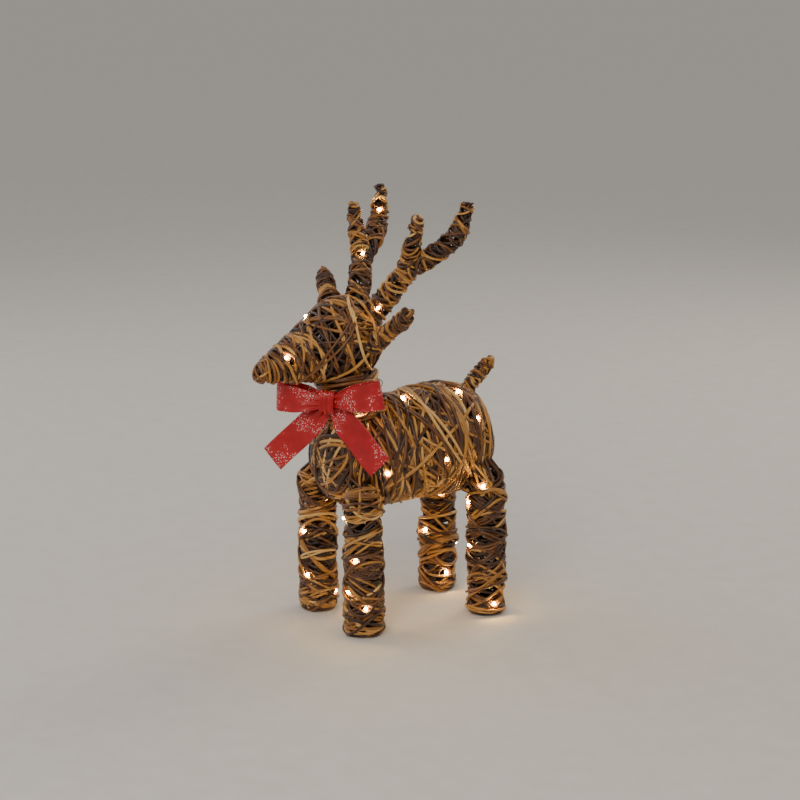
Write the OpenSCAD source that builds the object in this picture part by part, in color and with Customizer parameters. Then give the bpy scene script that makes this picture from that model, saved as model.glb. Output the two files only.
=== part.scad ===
// Light up wicker reindeer for the yard, faces -Y, its left side is +X, stands on z = 0.
// Every wound section is a thin closed skin here, over its own welded wire frame, with a string
// of small lamps inside, a battery box in the belly and a ribbon bow at the throat.

/* [Body] */
// Radius of the wound body at its middle
body_r = 77; // [75:1:79]
// Length of the wound body along its axis
body_len = 262; // [258:1:266]
// Height of the middle of the body above the ground
body_z = 238; // [236:1:240]
// How far the body's axis rises toward the rump, in degrees
body_tilt = 5; // [4:1:6]

/* [Legs] */
// Radius of a wound leg
leg_r = 28; // [27:0.5:29]
// Distance from the middle plane to each leg's axis
leg_x = 67; // [65:1:69]
// Distance of the front legs in front of the middle
front_y = 97; // [95:1:98]
// Distance of the rear legs behind the middle
rear_y = 99; // [97:1:100]
// Height at which a leg starts to round off
leg_z = 185; // [182:1:188]

/* [Head] */
// Radius of the skull
skull_r = 58; // [56:1:60]
// Radius of the nose
nose_r = 15; // [13:1:17]
// Radius of the neck
neck_r = 44; // [42:1:45]

/* [Winding and wire] */
// Thickness of the wound skin
skin = 2.4; // [2:0.2:3]
// Diameter of the frame wire
wire_d = 3; // [2.4:0.2:3.4]
// Diameter of the lamp lead
lead_d = 1.4; // [1.2:0.2:1.6]
// Width of the bow's ribbon
ribbon_w = 38; // [30:1:40]

/* [Hidden] */

vine = "#8a5a2b";
steel = "#3a2a1e";
red = "#b01820";
gap = 0.3;          // between neighbouring skins
big = 400;          // longer than any piece
stand_y = 38;       // from the middle of the feet to the middle of the whole object's box

// Axes of the wound sections, each from its start to its end
body_mid = [0, 0, body_z];
body_dir = [0, cos(body_tilt), sin(body_tilt)];
neck_low = [0, -71, 265];
neck_high = [0, -91, 360];
skull = [0, -92, 398];
nose = [0, -213, 362];
tail_low = [0, 104, 306];
tail_high = [0, 144, 345];
left_ear = [[45, -74, 393], [117, -54, 445]];
right_ear = [[-42, -88, 440], [-117, -59, 470]];
ear_base_r = 15;
ear_tip_r = 10;
tail_base_r = 11;
tail_tip_r = 8;

// The left antler's stem with its outer branch, its inner branch, and their radii
antler_outer = [
    [24, -60, 430], [40, -44, 457], [64, -26, 494], [88, 6, 520], [108, 25, 547], [119, 34, 588]
];
antler_outer_r = [19, 17, 15.5, 15, 14.5, 9];
antler_inner = [[58, -30, 486], [70, -27, 512], [80, -27, 538], [90, -26, 569]];
antler_inner_r = [14, 13.5, 12, 8.5];

// Legs' axes on the ground
leg_feet = [[leg_x, -front_y, 0], [-leg_x, -front_y, 0], [leg_x, rear_y, 0], [-leg_x, rear_y, 0]];

// Lamps as [angle round the section, distance along it]
body_lamps = [
    [-80, -62], [-155, -42], [-250, -54], [-275, -14], [-165, -2], [-82, 28],
    [-195, 40], [-268, 46], [-241, 85], [-156, 80], [-119, 88]
];
head_lamps = [[203, 35], [250, 4], [300, 74], [484, 95]];
neck_lamp_turn = 78;
neck_lamp_s = 43;
leg_lamps = [
    [[-118, 163], [-53, 110], [100, 85], [278, 64], [338, 42]],
    [[-250, 150], [-76, 116], [100, 85], [299, 55], [400, 28]],
    [[-45, 188], [-112, 160], [-98, 100], [90, 60], [355, 19]],
    [[-21, 149], [-76, 92], [59, 68], [-1, 29]]
];
holder_d = 5;
holder_len = 5.5;
lens_d = 4;
lens_len = 4.5;
lamp_len = holder_len + lens_len;
lamp_depth = skin + 0.2;      // how far the lens's tip lies under the outer surface
lead_depth = lamp_depth + lamp_len;

// How the frame wires of each leg are turned, clear of its lamps
leg_frame_turn = [20, 20, 50, 20];
// Lamps in the antlers: which way they face, and how far their lead runs beside the wire
left_antler_facing = [0.8, -0.6, 0];
right_antler_facing = [0.7, -0.3, 0.65];
antler_lead_gap = 2.6;
antler_wire_gap = 3;      // how far an antler's wire lies behind its middle line
// From the battery box to the first lamp of the body, and from the body up to the head
body_lead_start = [[0, -46, 183], [4, -52, 184], [24, -58, 194], [44, -60, 208]];
head_lead_start = [[0, -44, 268], [0, -60, 276], [0, -72, 288], [14, -78, 298]];
head_lead_middle = [[12, -84, 320], [0, -88, 345], [0, -98, 368]];

// Battery box, with the cover on its underside
case_x = 27;
case_front = -40;
case_rear = 40;
case_low = 169.2;
case_top = 190.4;
case_wall = 2;
bay_x = 23;
bay_front = -36;
bay_rear = 22;
bay_top = 187.4;
hinge_y = -41.4;
hinge_z = 166.4;
hinge_r = 2.6;
pin_d = 2;
cover_x = 25;
cover_rear = 28.6;
cover_t = 2.4;
cover_screw_y = 25;
cell_d = 14.2;
cell_len = 50.5;
cell_front = -29.4;
cell_z = 178;
cell_pitch = 15;
board_y = 33;
board_z = 183;
button_d = 7;
button_top = 177.9;
hanger_y = [-25, 25];
hanger_x = 18;
strap_x = 48.0;
hatch_x = 33;
hatch_y = 48;

// Bow
bow = [29.6, -129.4, 319];
bow_turn = 35;
left_loop_len = 78;
right_loop_len = 81;
loop_bulge = 11;
ribbon_t = 1.6;
loop_start = 17.6;
tail_lean = 9;            // the right tail leans out, clear of the shoulder

// ---- Vectors, profiles and swept tubes ----

function unit(v) = v / norm(v);
function polar(v) = acos(v.z / norm(v));
function turn(v) = atan2(v.y, v.x);
function axis_x(v) = [cos(polar(v)) * cos(turn(v)), cos(polar(v)) * sin(turn(v)), -sin(polar(v))];
function axis_y(v) = [-sin(turn(v)), cos(turn(v)), 0];
function outward(v, angle) = cos(angle) * axis_x(v) + sin(angle) * axis_y(v);
function mirror_x(points) = [for (p = points) [-p.x, p.y, p.z]];

// Radius of the body at a distance s from its middle: a barrel with rounded ends
function body_radius(s) = (body_r + 0.04 * s) * pow(max(0, 1 - pow(abs(2 * s / body_len), 5)), 0.4545);

// Outline of the body, grown by e
function body_outline(e) = [
    for (i = [0:24])
        let (u = -90 + 7.5 * i, s = body_len / 2 * sin(u))
        [max(0, body_radius(s) + e * cos(u)), s + e * sin(u)]
];

// Outline of a round-ended taper of radii r1 and r2 over length l, grown by e
function taper_outline(l, r1, r2, e) = let (a = asin((r1 - r2) / l)) concat(
    [for (i = [0:10]) let (u = -90 + (90 + a) * i / 10) [(r1 + e) * cos(u), (r1 + e) * sin(u)]],
    [for (i = [0:5]) let (u = a + (90 - a) * i / 5) [(r2 + e) * cos(u), l + (r2 + e) * sin(u)]]
);
function taper_radius(l, r1, r2, s) = let (a = asin((r1 - r2) / l))
    s < r1 * sin(a) ? sqrt(max(0, r1 * r1 - s * s))
    : s > l + r2 * sin(a) ? sqrt(max(0, r2 * r2 - (s - l) * (s - l)))
    : (r1 - s * sin(a)) / cos(a);

function tangents(path) = [
    for (i = [0:len(path) - 1]) unit(path[min(i + 1, len(path) - 1)] - path[max(i - 1, 0)])
];
function first_normal(t) = unit(cross(t, abs(t.z) < 0.9 ? [0, 0, 1] : [1, 0, 0]));
function carried(ts) = [
    for (i = 0, n = first_normal(ts[0]); i < len(ts);
         i = i + 1, n = i < len(ts) ? unit(n - (n * ts[i]) * ts[i]) : n) n
];
function spline(a, b, c, d, t) = 0.5 * (2 * b + (c - a) * t + (2 * a - 5 * b + 4 * c - d) * t * t
    + (3 * b - a - 3 * c + d) * t * t * t);
function smooth(list, steps) = [
    for (i = [0:len(list) - 2]) for (j = [0:steps - (i == len(list) - 2 ? 0 : 1)])
        spline(list[max(i - 1, 0)], list[i], list[i + 1], list[min(i + 2, len(list) - 1)], j / steps)
];

// A tube swept along a path with a radius at each point
module tube(path, radii, sides) {
    ts = tangents(path);
    ns = carried(ts);
    n = len(path);
    points = [
        for (i = [0:n - 1]) for (k = [0:sides - 1])
            let (u = 360 * k / sides)
            path[i] + radii[i] * (cos(u) * ns[i] + sin(u) * cross(ts[i], ns[i]))
    ];
    faces = concat(
        [[for (k = [0:sides - 1]) k]],
        [for (i = [0:n - 2]) for (k = [0:sides - 1])
            [i * sides + k, (i + 1) * sides + k, (i + 1) * sides + (k + 1) % sides]],
        [for (i = [0:n - 2]) for (k = [0:sides - 1])
            [i * sides + k, (i + 1) * sides + (k + 1) % sides, i * sides + (k + 1) % sides]],
        [[for (k = [sides - 1:-1:0]) (n - 1) * sides + k]]
    );
    polyhedron(points, faces);
}

// ---- Placing and simple solids ----

module along(p, v) {
    translate(p) rotate([0, polar(v), turn(v)]) children();
}

// The nodes are drawn about the middle of the feet and stand about the middle of the whole box
module stood() {
    translate([0, stand_y, 0]) children();
}

module rod(p, q, d) {
    along(p, q - p) cylinder(h = norm(q - p), d = d, $fn = 32);
}

module hoop(radius, d) {
    rotate_extrude($fn = 64) translate([radius, 0]) circle(d = d, $fn = 24);
}

module block(low, high) {
    translate(low) cube(high - low);
}

module body_solid(e) {
    along(body_mid, body_dir) rotate_extrude($fn = 96) polygon(body_outline(e));
}

module taper_solid(p, q, r1, r2, e) {
    along(p, q - p) rotate_extrude($fn = 64) polygon(taper_outline(norm(q - p), r1, r2, e));
}

module head_solid(e) {
    taper_solid(skull, nose, skull_r, nose_r, e);
}

module taper_skin(p, q, r1, r2) {
    difference() {
        taper_solid(p, q, r1, r2, 0);
        taper_solid(p, q, r1, r2, -skin);
    }
}

// ---- Wound skins ----

module neck_passage() {
    rod(neck_low - [0, 0, 30], neck_high + [0, 0, 20], 50);
}

module body_wicker() {
    color(vine) difference() {
        body_solid(0);
        body_solid(-skin);
        block([-hatch_x, -hatch_y, 120], [hatch_x, hatch_y, 178]);
        neck_passage();
        for (foot = leg_feet)
            translate([sign(foot.x) * 50, foot.y * 0.92, 150]) cylinder(h = 60, d = 10, $fn = 32);
        rod(tail_low - 20 * unit(tail_high - tail_low), tail_high, 8);
    }
}

module neck_wicker() {
    color(vine) difference() {
        rod(neck_low, neck_high, 2 * neck_r);
        rod(neck_low - [0, 0, 1], neck_high + [0, 0, 1], 2 * (neck_r - skin));
        body_solid(gap);
        head_solid(gap);
    }
}

module head_wicker() {
    color(vine) difference() {
        head_solid(0);
        head_solid(-skin);
        neck_passage();
        rod(antler_outer[0] - (antler_outer[1] - antler_outer[0]), antler_outer[1], 16);
        mirror([1, 0, 0]) rod(antler_outer[0] - (antler_outer[1] - antler_outer[0]), antler_outer[1], 16);
    }
}

module tail_wicker() {
    color(vine) difference() {
        taper_skin(tail_low, tail_high, tail_base_r, tail_tip_r);
        body_solid(gap);
    }
}

module ear_wicker(ends) {
    color(vine) difference() {
        taper_skin(ends[0], ends[1], ear_base_r, ear_tip_r);
        head_solid(gap);
    }
}

module left_ear_wicker() {
    ear_wicker(left_ear);
}

module right_ear_wicker() {
    ear_wicker(right_ear);
}

module antler_shape(inset) {
    steps = 3;
    tube(smooth(antler_outer, steps), [for (r = smooth(antler_outer_r, steps)) r - inset], 14);
    tube(smooth(antler_inner, steps), [for (r = smooth(antler_inner_r, steps)) r - inset], 14);
}

module tip_cap(before, tip) {
    along(tip, tip - before) translate([0, 0, -skin]) cylinder(h = 20, r = 20, $fn = 32);
}

module left_antler_wicker() {
    color(vine) difference() {
        antler_shape(0);
        difference() {
            antler_shape(skin);
            tip_cap(antler_outer[4], antler_outer[5]);
            tip_cap(antler_inner[2], antler_inner[3]);
        }
        head_solid(gap);
    }
}

module right_antler_wicker() {
    mirror([1, 0, 0]) left_antler_wicker();
}

module leg_wicker(foot) {
    color(vine) difference() {
        translate(foot) {
            difference() {
                union() {
                    cylinder(h = leg_z, r = leg_r, $fn = 96);
                    translate([0, 0, leg_z]) sphere(r = leg_r, $fn = 96);
                }
                translate([0, 0, skin]) cylinder(h = leg_z - skin, r = leg_r - skin, $fn = 96);
                translate([0, 0, leg_z]) sphere(r = leg_r - skin, $fn = 96);
            }
        }
        body_solid(gap);
    }
}

module front_left_leg_wicker() {
    leg_wicker(leg_feet[0]);
}

module front_right_leg_wicker() {
    leg_wicker(leg_feet[1]);
}

module rear_left_leg_wicker() {
    leg_wicker(leg_feet[2]);
}

module rear_right_leg_wicker() {
    leg_wicker(leg_feet[3]);
}

// ---- Welded wire frames ----

frame_gap = skin + 0.5 + wire_d / 2;     // a hoop's wire, under the outer surface
bar_gap = frame_gap + 0.8 * wire_d;      // the long wires, welded inside the hoops
bar_step = 6;                            // degrees between one span's wires and the next span's
body_hoops = [-78, -27, 16, 70];
head_hoops = [-20, 20, 62, 104];

function body_place(angle, s, depth) =
    body_mid + s * body_dir + (body_radius(s) - depth) * outward(body_dir, angle);

head_dir = unit(nose - skull);
head_len = norm(nose - skull);
function head_place(angle, s, depth) = skull + s * head_dir
    + (taper_radius(head_len, skull_r, nose_r, s) - depth) * outward(head_dir, angle);

// A long wire between two hoops, a little past both
module bar(p, q) {
    v = unit(q - p);
    rod(p - wire_d * v, q + wire_d * v, wire_d);
}

module body_frame() {
    color(steel) difference() {
        union() {
            for (s = body_hoops)
                along(body_mid + s * body_dir, body_dir) hoop(body_radius(s) - frame_gap, wire_d);
            for (angle = [45, 135, 225, 315])
                for (i = [0:len(body_hoops) - 2])
                    bar(body_place(angle + bar_step * (i % 2), body_hoops[i], bar_gap),
                        body_place(angle + bar_step * (i % 2), body_hoops[i + 1], bar_gap));
        }
        block([-hatch_x, -hatch_y, 120], [hatch_x, hatch_y, 186]);
    }
}

module neck_frame() {
    v = neck_high - neck_low;
    low = neck_low + 0.3 * v;
    color(steel) for (angle = [30, 150, 270])
        rod(low + 16 * outward(v, angle), neck_high + 16 * outward(v, angle), wire_d);
    color(steel) for (part = [0.4, 0.95]) along(neck_low + part * v, v) hoop(16 + 0.8 * wire_d, wire_d);
}

module head_frame() {
    color(steel) for (s = head_hoops)
        along(skull + s * head_dir, head_dir)
            hoop(taper_radius(head_len, skull_r, nose_r, s) - frame_gap, wire_d);
    color(steel) for (angle = [45, 135, 225, 315])
        for (i = [0:len(head_hoops) - 2])
            bar(head_place(angle + bar_step * (i % 2), head_hoops[i], bar_gap),
                head_place(angle + bar_step * (i % 2), head_hoops[i + 1], bar_gap));
}

// A hairpin of wire inside an ear, from a share of its length out to the tip
module hairpin(p, q, start, half) {
    side = outward(q - p, 90);
    low = p + start * (q - p);
    v = unit(q - p);
    path = concat(
        [low - half * side],
        [for (u = [-90:30:90]) q + half * (sin(u) * side + cos(u) * v)],
        [low + half * side]
    );
    color(steel) tube(path, [for (p = path) wire_d / 2], 8);
}

module tail_frame() {
    color(steel) rod(tail_low - 12 * unit(tail_high - tail_low), tail_high, wire_d);
}

module left_ear_frame() {
    hairpin(left_ear[0], left_ear[1], 0.26, 4.5);
}

module right_ear_frame() {
    hairpin(right_ear[0], right_ear[1], 0.14, 4.5);
}

module left_antler_frame() {
    start = antler_outer[0] - 0.6 * (antler_outer[1] - antler_outer[0]);
    behind = antler_wire_gap * [right_facing.x, -right_facing.y, -right_facing.z];
    outer = smooth(concat([start + behind], [for (i = [0:4]) antler_outer[i] + behind]), 2);
    inner = smooth([for (i = [0:2]) antler_inner[i] + behind], 2);
    color(steel) tube(outer, [for (p = outer) wire_d / 2], 8);
    color(steel) tube(inner, [for (p = inner) wire_d / 2], 8);
}

module right_antler_frame() {
    mirror([1, 0, 0]) left_antler_frame();
}

module leg_frame(foot, start) {
    inner = leg_r - frame_gap;
    color(steel) difference() {
        translate(foot) {
            for (z = [skin + 0.2 + wire_d / 2, 78, 135]) translate([0, 0, z]) hoop(inner, wire_d);
            for (angle = [0:120:240])
                rotate([0, 0, angle + start]) translate([leg_r - bar_gap, 0, skin + 0.2 + wire_d / 2])
                    cylinder(h = 182 - skin, d = wire_d, $fn = 32);
        }
        body_solid(2 * gap);
    }
}

module front_left_leg_frame() {
    leg_frame(leg_feet[0], leg_frame_turn[0]);
}

module front_right_leg_frame() {
    leg_frame(leg_feet[1], leg_frame_turn[1]);
}

module rear_left_leg_frame() {
    leg_frame(leg_feet[2], leg_frame_turn[2]);
}

module rear_right_leg_frame() {
    leg_frame(leg_feet[3], leg_frame_turn[3]);
}

// Soft wire loops that tie the legs to the body and the neck to body and head
module binding_wires() {
    tie_r = 7;
    tie_d = 1.2;
    color("dimgray") {
        for (foot = leg_feet)
            translate([sign(foot.x) * 57, foot.y * 0.94, 196]) rotate([90, 0, 0]) hoop(tie_r, tie_d);
        for (side = [-1, 1]) {
            translate([side * 38, -64, 300]) rotate([90, 0, 0]) hoop(tie_r, tie_d);
            translate([side * 38, -84, 352]) rotate([90, 0, 0]) hoop(tie_r, tie_d);
        }
    }
}

// ---- Lamps and their leads ----

// The lamps' lead runs round the section from one lamp to the next
function wound(lamps, steps) = [
    for (i = [0:len(lamps) - 2]) for (j = [0:steps - (i == len(lamps) - 2 ? 0 : 1)])
        lamps[i] + (lamps[i + 1] - lamps[i]) * j / steps
];

function leg_place(foot, angle, z, depth) =
    foot + [(leg_r - depth) * cos(angle), (leg_r - depth) * sin(angle), z];

module lead(path) {
    color("saddlebrown") tube(path, [for (p = path) lead_d / 2], 8);
}

module holder(p, v) {
    color("saddlebrown") along(p, v) cylinder(h = holder_len, d = holder_d, $fn = 32);
}

// A clear lens: a short stem with a domed tip
module lens(p, v) {
    stem = lens_len - lens_d / 2;
    color("lemonchiffon") along(p + holder_len * v, v) {
        cylinder(h = stem, d = lens_d, $fn = 32);
        translate([0, 0, stem]) intersection() {
            sphere(d = lens_d, $fn = 32);
            translate([0, 0, lens_d / 2]) cube([lens_d, lens_d, lens_d], center = true);
        }
    }
}

module holders(spots) {
    for (spot = spots) holder(spot[0], spot[1]);
}

module lenses(spots) {
    for (spot = spots) lens(spot[0], spot[1]);
}

// Where the body curves in at its ends, a lamp sits deeper under the sloping skin
function end_sink(s) = abs(s) > 80 ? 0.3 + 0.0045 * pow(abs(s) - 80, 2) : 0;
function body_lamp_place(angle, s) = body_place(angle, s, lead_depth + end_sink(s));

// Each lamp as [middle of its base, which way it points]
body_spots = [for (a = body_lamps) [body_lamp_place(a[0], a[1]), outward(body_dir, a[0])]];
neck_dir = unit(neck_high - neck_low);
neck_spot = [
    neck_low + neck_lamp_s * neck_dir + (neck_r - lead_depth) * outward(neck_dir, neck_lamp_turn),
    outward(neck_dir, neck_lamp_turn)
];
head_spots = concat(
    [neck_spot],
    [for (a = head_lamps) [head_place(a[0], a[1], lead_depth), outward(head_dir, a[0])]]
);
function leg_spots(i) = [
    for (a = leg_lamps[i])
        [leg_place(leg_feet[i], a[0], a[1], lead_depth), [cos(a[0]), sin(a[0]), 0]]
];
antler_stem = (antler_outer[0] + antler_outer[1]) / 2;
right_outer = mirror_x(antler_outer);
left_facing = unit(left_antler_facing);
right_facing = unit(right_antler_facing);
antler_spots = [
    [antler_stem + (antler_outer_r[1] - lead_depth) * left_facing, left_facing],
    [right_outer[2] + (antler_outer_r[2] - lead_depth) * right_facing, right_facing],
    [right_outer[4] + (antler_outer_r[4] - lead_depth) * right_facing, right_facing]
];

module body_lamp_lead() {
    lead(concat(
        smooth(body_lead_start, 2),
        [for (a = wound(body_lamps, 5)) body_lamp_place(a[0], a[1])]
    ));
}

module head_lamp_lead() {
    lead(concat(
        smooth(concat(head_lead_start, [neck_spot[0]], head_lead_middle), 2),
        [for (a = wound(head_lamps, 7)) head_place(a[0], a[1], lead_depth)]
    ));
}

module antler_lamp_leads() {
    start = antler_outer[0] - 0.6 * (antler_outer[1] - antler_outer[0]);
    left = concat([start], [for (i = [0:1]) antler_outer[i]]);
    right = concat(mirror_x([start]), [for (i = [0:4]) right_outer[i]]);
    lead([for (p = left) p + (antler_lead_gap + 2) * left_facing]);
    lead([for (p = right) p + antler_lead_gap * right_facing]);
}

module leg_lead(i) {
    foot = leg_feet[i];
    side = sign(foot.x);
    in = [side * 50, foot.y * 0.92, 206];
    lead(concat(
        [in, in - [0, 0, 14], in + [side * 4, 0, -24]],
        [for (a = wound(leg_lamps[i], 7)) leg_place(foot, a[0], a[1], lead_depth)]
    ));
}

module front_leg_lamp_leads() {
    leg_lead(0);
    leg_lead(1);
}

module rear_leg_lamp_leads() {
    leg_lead(2);
    leg_lead(3);
}

module body_lamp_holders() {
    holders(body_spots);
}

module head_lamp_holders() {
    holders(head_spots);
}

module antler_lamp_holders() {
    holders(antler_spots);
}

module front_leg_lamp_holders() {
    holders(concat(leg_spots(0), leg_spots(1)));
}

module rear_leg_lamp_holders() {
    holders(concat(leg_spots(2), leg_spots(3)));
}

module body_lamp_lenses() {
    lenses(body_spots);
}

module head_lamp_lenses() {
    lenses(head_spots);
}

module antler_lamp_lenses() {
    lenses(antler_spots);
}

module front_leg_lamp_lenses() {
    lenses(concat(leg_spots(0), leg_spots(1)));
}

module rear_leg_lamp_lenses() {
    lenses(concat(leg_spots(2), leg_spots(3)));
}

// ---- Battery box ----

lug_x = [18.6, 24];
lug_r = 2.8;
screw_d = 3;
screw_hole_d = 3.4;
switch_size = [6, 6, 4];
grommet_z = 183;

module x_rod(x_low, x_high, y, z, d) {
    translate([x_low, y, z]) rotate([0, 90, 0]) cylinder(h = x_high - x_low, d = d, $fn = 48);
}

module battery_case() {
    color("#2a2320") difference() {
        union() {
            block([-case_x, case_front, case_low], [case_x, case_rear, case_top]);
            for (side = [0, 1]) mirror([side, 0, 0]) {
                x_rod(lug_x[0], lug_x[1], hinge_y, hinge_z, 2 * lug_r);
                block([lug_x[0], hinge_y - lug_r, hinge_z], [lug_x[1], hinge_y + lug_r, case_low + 3]);
            }
            for (x = [-hanger_x, hanger_x]) for (y = hanger_y)
                translate([x, y, bay_top - 1]) cylinder(h = case_top - bay_top + 1, d = 8, $fn = 48);
        }
        block([-bay_x, bay_front, case_low - 1], [bay_x, bay_rear, bay_top]);
        block([-bay_x - 1.5, bay_front - 1.5, case_low - 1], [bay_x + 1.5, bay_rear + 1.5, case_low + 1.2]);
        block([-bay_x, bay_rear + 4, case_low + case_wall], [bay_x, case_rear - case_wall, bay_top]);
        x_rod(-big, big, hinge_y, hinge_z, pin_d + 0.04);
        translate([0, board_y, case_low - 1]) cylinder(h = 6, d = button_d + 0.6, $fn = 48);
        translate([-17, cover_screw_y, case_low - 1]) cylinder(h = 7, d = screw_hole_d + 0.8, $fn = 48);
        for (x = [-hanger_x, hanger_x]) for (y = hanger_y)
            translate([x, y, bay_top - 2]) cylinder(h = 10, d = screw_hole_d, $fn = 48);
        translate([0, case_front - 1, grommet_z]) rotate([-90, 0, 0]) cylinder(h = 6, d = 5, $fn = 48);
    }
}

module battery_cover() {
    top = case_low - 0.2;
    low = top - cover_t;
    color("#2a2320") difference() {
        union() {
            block([-cover_x, hinge_y + lug_r + 0.6, low], [cover_x, cover_rear, top]);
            x_rod(-lug_x[0] + 0.4, lug_x[0] - 0.4, hinge_y, hinge_z, 2 * hinge_r);
            block([-lug_x[0] + 0.4, hinge_y, low], [lug_x[0] - 0.4, hinge_y + lug_r + 2, top]);
        }
        x_rod(-big, big, hinge_y, hinge_z, pin_d + 0.16);
        translate([-17, cover_screw_y, low - 1]) cylinder(h = 6, d = screw_hole_d, $fn = 48);
    }
}

module cover_hinge_pin() {
    color("silver") x_rod(-lug_x[1], lug_x[1], hinge_y, hinge_z, pin_d);
}

// A pan-head screw with a slot, its head at the bottom
module screw(head_z, length) {
    difference() {
        union() {
            translate([0, 0, head_z - 1.6]) cylinder(h = 1.6, d = 5.4, $fn = 48);
            translate([0, 0, head_z]) cylinder(h = length, d = screw_d, $fn = 48);
        }
        translate([-4, -0.4, head_z - 2.6]) cube([8, 0.8, 1.8]);
    }
}

module cover_screw() {
    color("silver") translate([-17, cover_screw_y, 0]) screw(case_low - 0.2 - cover_t, 6);
}

module cover_gasket() {
    low = case_low + 0.05;
    color("black") difference() {
        block([-bay_x - 1.3, bay_front - 1.3, low], [bay_x + 1.3, bay_rear + 1.3, low + 1.1]);
        block([-bay_x - 0.2, bay_front - 0.2, low - 1], [bay_x + 0.2, bay_rear + 0.2, low + 2]);
    }
}

module battery_cells() {
    for (i = [-1:1]) translate([i * cell_pitch, cell_front, cell_z]) rotate([-90, 0, 0]) {
        color("goldenrod") cylinder(h = cell_len - 1.5, d = cell_d, $fn = 64);
        color("silver") translate([0, 0, cell_len - 1.5]) cylinder(h = 1.5, d = 5.4, $fn = 48);
    }
}

module contact_springs() {
    turns = 3;
    steps = 12;
    spring_len = cell_front - bay_front - 1.5;
    for (i = [-1:1]) {
        path = [
            for (k = [0:turns * steps])
                [i * cell_pitch + 3.4 * cos(360 * k / steps),
                 bay_front + 0.9 + spring_len * k / (turns * steps),
                 cell_z + 3.4 * sin(360 * k / steps)]
        ];
        color("silver") tube(path, [for (p = path) 0.25], 6);
    }
}

module contact_plates() {
    for (i = [-1:1])
        color("silver") block([i * cell_pitch - 5, bay_front + 0.05, cell_z - 6],
            [i * cell_pitch + 5, bay_front + 0.55, cell_z + 6]);
    for (i = [-1:1])
        color("silver") block([i * cell_pitch - 5, bay_rear - 0.6, cell_z - 6],
            [i * cell_pitch + 5, bay_rear - 0.1, cell_z + 6]);
}

module timer_board() {
    color("darkgreen")
        block([-bay_x + 1, bay_rear + 4.5, board_z], [bay_x - 1, case_rear - 2.5, board_z + 1.6]);
}

module timer_switch() {
    color("dimgray") translate([0, board_y, board_z - switch_size.z / 2 - 0.02])
        cube(switch_size, center = true);
}

module timer_button() {
    color("darkred") translate([0, board_y, 0]) {
        translate([0, 0, case_low - 1.4]) cylinder(h = button_top - case_low + 1.4, d = button_d, $fn = 64);
        translate([0, 0, case_low + case_wall + 0.1]) cylinder(h = 1.4, d = button_d + 3, $fn = 64);
    }
}

// Two steel straps between the body's lower frame wires, which carry the battery box
module case_hanger() {
    color("gray") for (y = hanger_y) difference() {
        block([-strap_x, y - 5, case_top + 0.2], [strap_x, y + 5, case_top + 1.7]);
        for (x = [-hanger_x, hanger_x])
            translate([x, y, case_top - 1]) cylinder(h = 6, d = screw_hole_d, $fn = 48);
    }
}

module hanger_screws() {
    color("silver") for (x = [-hanger_x, hanger_x]) for (y = hanger_y)
        translate([x, y, 0]) mirror([0, 0, 1]) translate([0, 0, -2 * (case_top + 1.9)])
            screw(case_top + 1.9, 4.5);
}

module lead_grommet() {
    color("black") translate([0, case_front, grommet_z]) rotate([90, 0, 0]) difference() {
        union() {
            translate([0, 0, 0.1]) cylinder(h = 2, d = 8, $fn = 48);
            translate([0, 0, -case_wall]) cylinder(h = case_wall + 1, d = 4.8, $fn = 48);
            translate([0, 0, 2]) cylinder(h = 5, d = 4, $fn = 48);
        }
        translate([0, 0, -6]) cylinder(h = 20, d = lead_d + 0.4, $fn = 48);
    }
}

// ---- Bow ----

// Local x runs along the bow, y up, z out of the bow's front
module on_bow() {
    translate(bow) rotate([90, 0, bow_turn]) children();
}

module bow_knot() {
    color(red) on_bow() difference() {
        translate([-10, -15, -7]) cube([20, 30, 14]);
        translate([-6, -20, -4]) cube([12, 40, 8]);
    }
}

// A loop of ribbon seen from its edge: a teardrop that opens away from the knot
module loop_edge(length, inset) {
    hull() {
        translate([loop_start, 0]) circle(r = 4 - inset, $fn = 48);
        translate([length - loop_bulge, 0]) circle(r = loop_bulge - inset, $fn = 48);
    }
}

module bow_loop(length, lift) {
    rotate([0, 0, lift]) translate([0, ribbon_w / 2, 0]) rotate([90, 0, 0])
        linear_extrude(ribbon_w) difference() {
            loop_edge(length, 0);
            loop_edge(length, ribbon_t);
        }
}

module bow_left_loop() {
    color(red) on_bow() mirror([1, 0, 0]) bow_loop(left_loop_len, 2);
}

module bow_right_loop() {
    color(red) on_bow() bow_loop(right_loop_len, 12);
}

module bow_tail(length, fall) {
    rotate([0, 0, -fall]) translate([14, -ribbon_w / 2, -4]) cube([length - 14, ribbon_w, ribbon_t]);
}

module bow_left_tail() {
    color(red) on_bow() translate([0, -8, -6.4]) mirror([1, 0, 0]) bow_tail(126, 43);
}

module bow_right_tail() {
    color(red) on_bow() translate([0, -8, -4.7]) rotate([-tail_lean, 0, 0]) bow_tail(111, 44);
}

module bow_tie_wire() {
    color("dimgray") along(neck_low + 0.65 * (neck_high - neck_low), neck_dir)
        hoop(neck_r + 4.2, 1.2);
}

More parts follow.
